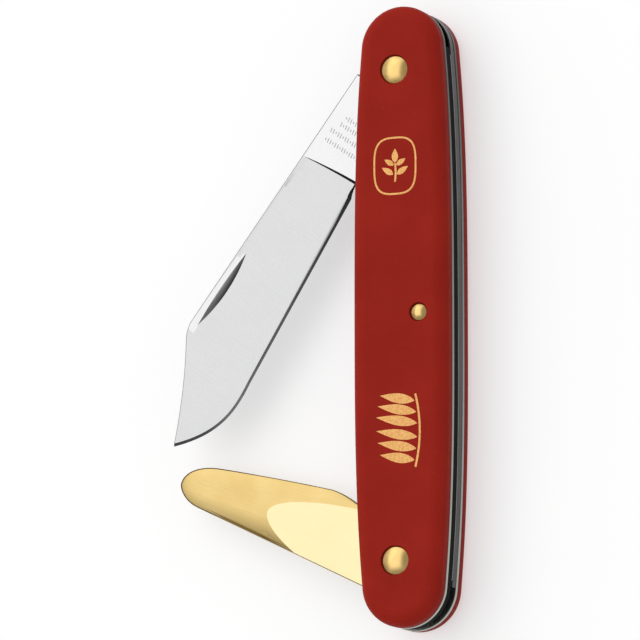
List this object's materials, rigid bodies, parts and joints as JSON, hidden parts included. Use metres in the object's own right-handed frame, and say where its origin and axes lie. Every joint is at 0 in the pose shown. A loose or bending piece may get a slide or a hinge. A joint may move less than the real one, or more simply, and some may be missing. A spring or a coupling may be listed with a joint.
{
  "type": "grafting knife",
  "caption": "Folding grafting knife with a clip-point blade and a rounded brass bark lifter, pivoted at opposite ends of a riveted nylon handle.",
  "frame": {"origin": "middle of the rear scale's flat outer face, where the knife lies on a surface", "axes": "+Y along the handle towards the blade's pivot, +X across the handle towards the back with the springs, +Z out of the front scale"},
  "size_m": [0.0491, 0.1, 0.0122],
  "materials": {
    "red_nylon": "satin moulded nylon, slightly grained, rounded edges",
    "spring_steel": "stainless steel, polished on the edges",
    "blade_steel": "stainless steel, fine ground and polished, with lengthwise grinding lines",
    "brass": "polished brass"
  },
  "bodies": {
    "handle": {"front_scale": "red_nylon", "rear_scale": "red_nylon", "front_liner": "spring_steel", "rear_liner": "spring_steel", "divider_plate": "spring_steel", "blade_spring": "spring_steel", "lifter_spring": "spring_steel", "blade_pivot_pin": "brass", "lifter_pivot_pin": "brass", "spring_pin": "brass", "front_blade_rivet_cap": "brass", "front_lifter_rivet_cap": "brass", "front_spring_rivet_cap": "brass", "rear_blade_rivet_cap": "brass", "rear_lifter_rivet_cap": "brass", "rear_spring_rivet_cap": "brass"},
    "blade": {"grafting_blade": "blade_steel"},
    "lifter": {"bark_lifter": "brass"}
  },
  "joints": [
    {"name": "blade_pivot", "type": "hinge", "parent": "handle", "child": "blade", "pos_m": [-0.0006, 0.0395, 0.00677], "axis": [0, 0, -1], "range_deg": [-30.3, 145.2]},
    {"name": "lifter_pivot", "type": "hinge", "parent": "handle", "child": "lifter", "pos_m": [-0.0006, -0.0395, 0.00483], "axis": [0, 0, 1], "range_deg": [-59.2, 110.3]}
  ]
}
